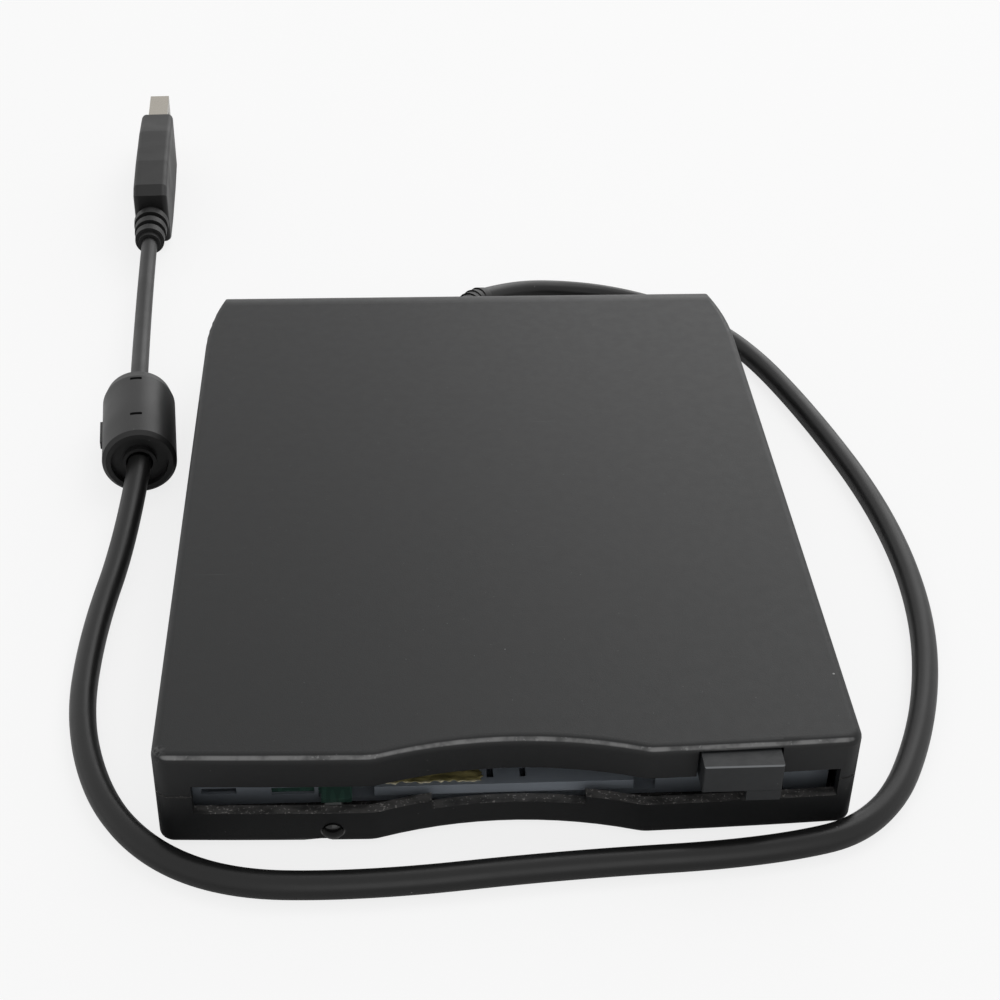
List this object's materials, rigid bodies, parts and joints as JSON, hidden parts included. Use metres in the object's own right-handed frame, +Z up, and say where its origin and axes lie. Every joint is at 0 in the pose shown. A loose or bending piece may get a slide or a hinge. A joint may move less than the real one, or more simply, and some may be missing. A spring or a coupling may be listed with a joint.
{
  "type": "external floppy disk drive",
  "caption": "Slim external floppy disk drive with a front slot, eject button, inner disk mechanism and a captive cable ending in a plug.",
  "frame": {"origin": "centre of the case's footprint, on the plane its feet rest on, without the cable", "axes": "+X to the right seen from the front, +Y to the rear, +Z up"},
  "size_m": [0.1529, 0.2582, 0.018],
  "materials": {
    "case_plastic": "fine spark texture",
    "button_plastic": "fine texture",
    "screw_steel": "blackened",
    "sheet_steel": "zinc plated sheet",
    "chassis_steel": "zinc plated sheet",
    "spring_steel": "ground",
    "yellow_tape": "film",
    "bearing_bronze": "sintered",
    "coil_copper": "enamelled",
    "inner_plastic": "glass filled",
    "head_ceramic": "polished",
    "board_green": "solder mask",
    "chip_black": "moulded",
    "ribbon_white": "film",
    "lens_dark": "clear tinted",
    "light_clear": "clear",
    "cord_jacket": "semi gloss",
    "ferrite_plastic": "fine texture",
    "ferrite_grey": "sintered",
    "plug_plastic": "fine texture",
    "plug_steel": "nickel plated",
    "tongue_white": "moulded",
    "contact_gold": "plated",
    "foot_rubber": "matt"
  },
  "bodies": {
    "root": {"upper_shell": "case_plastic", "lower_shell": "case_plastic", "case_screws": "screw_steel", "mechanism_screws": "screw_steel", "eject_spring_left": "spring_steel", "eject_spring_right": "spring_steel", "tape_strip": "yellow_tape", "chassis_tray": "chassis_steel", "mechanism_cover": "sheet_steel", "spindle_bearing": "bearing_bronze", "motor_stator": "coil_copper", "guide_rod_right": "spring_steel", "guide_rod_left": "spring_steel", "rod_clamps": "inner_plastic", "stepper_motor": "sheet_steel", "sensor_board": "board_green", "main_board": "board_green", "board_chips": "chip_black", "interface_board": "board_green", "interface_chips": "chip_black", "flat_cable": "ribbon_white", "status_light_lens": "lens_dark", "status_light": "light_clear", "bend_relief": "cord_jacket", "cord_main": "cord_jacket", "cord_plug_side": "cord_jacket", "ferrite_case_upper": "ferrite_plastic", "ferrite_case_lower": "ferrite_plastic", "ferrite_core": "ferrite_grey", "plug_body": "plug_plastic", "plug_shell": "plug_steel", "plug_tongue": "tongue_white", "plug_contacts": "contact_gold", "rubber_foot_front_left": "foot_rubber", "rubber_foot_front_right": "foot_rubber", "rubber_foot_rear_left": "foot_rubber", "rubber_foot_rear_right": "foot_rubber", "write_protect_switch": "chip_black", "density_switch": "chip_black", "disk_in_switch": "chip_black"},
    "eject": {"eject_button": "button_plastic", "eject_slider": "sheet_steel"},
    "carrier": {"disk_carrier": "sheet_steel", "carrier_pins": "spring_steel", "lever_post": "spring_steel"},
    "lever": {"shutter_lever": "sheet_steel"},
    "spindle": {"motor_rotor": "sheet_steel", "spindle_shaft": "spring_steel", "spindle_hub": "spring_steel", "drive_pin": "spring_steel"},
    "carriage": {"head_carriage": "inner_plastic", "lower_head": "head_ceramic"},
    "arm": {"upper_head_arm": "inner_plastic", "upper_head": "head_ceramic", "arm_pin": "spring_steel"},
    "screw": {"lead_screw": "spring_steel"},
    "write_protect": {"write_protect_plunger": "inner_plastic"},
    "density": {"density_plunger": "inner_plastic"},
    "disk_in": {"disk_in_plunger": "inner_plastic"}
  },
  "joints": [
    {"name": "eject_slide", "type": "slide", "parent": "root", "child": "eject", "axis": [0, -1, 0], "range_m": [-0.0004, 0.004], "stiffness_N_per_m": 120},
    {"name": "carrier_drop", "type": "slide", "parent": "root", "child": "carrier", "axis": [0, 0, -1], "range_m": [-0.00016, 0.00151], "stiffness_N_per_m": 20, "springref_m": -0.0197},
    {"name": "lever_swing", "type": "hinge", "parent": "carrier", "child": "lever", "pos_m": [-0.033, 0.0293, 0.0131], "axis": [0, 0, 1], "range_deg": [0, 58], "stiffness_Nm_per_rad": 0.003},
    {"name": "spindle_spin", "type": "hinge", "parent": "root", "child": "spindle", "pos_m": [0, -0.0212, 0.006], "axis": [0, 0, 1], "continuous": true},
    {"name": "carriage_slide", "type": "slide", "parent": "root", "child": "carriage", "axis": [0, -1, 0], "range_m": [0, 0.0148]},
    {"name": "arm_swing", "type": "hinge", "parent": "carriage", "child": "arm", "pos_m": [0, 0.0483, 0.0114], "axis": [1, 0, 0], "range_deg": [-0.7, 6.7]},
    {"name": "screw_spin", "type": "hinge", "parent": "root", "child": "screw", "pos_m": [-0.012, 0.0403, 0.0076], "axis": [0, 1, 0], "range_deg": [-5, 1785]},
    {"name": "write_protect_press", "type": "slide", "parent": "root", "child": "write_protect", "axis": [0, 0, -1], "range_m": [0, 0.0012], "stiffness_N_per_m": 40},
    {"name": "density_press", "type": "slide", "parent": "root", "child": "density", "axis": [0, 0, -1], "range_m": [0, 0.0012], "stiffness_N_per_m": 40},
    {"name": "disk_in_press", "type": "slide", "parent": "root", "child": "disk_in", "axis": [0, 0, -1], "range_m": [0, 0.0012], "stiffness_N_per_m": 40}
  ],
  "couplings": [
    {"joint": "carrier_drop", "follows": "eject_slide", "ratio": 0.375},
    {"joint": "arm_swing", "follows": "eject_slide", "rad_per_m": 28.798},
    {"joint": "screw_spin", "follows": "carriage_slide", "rad_per_m": 2094.4}
  ]
}
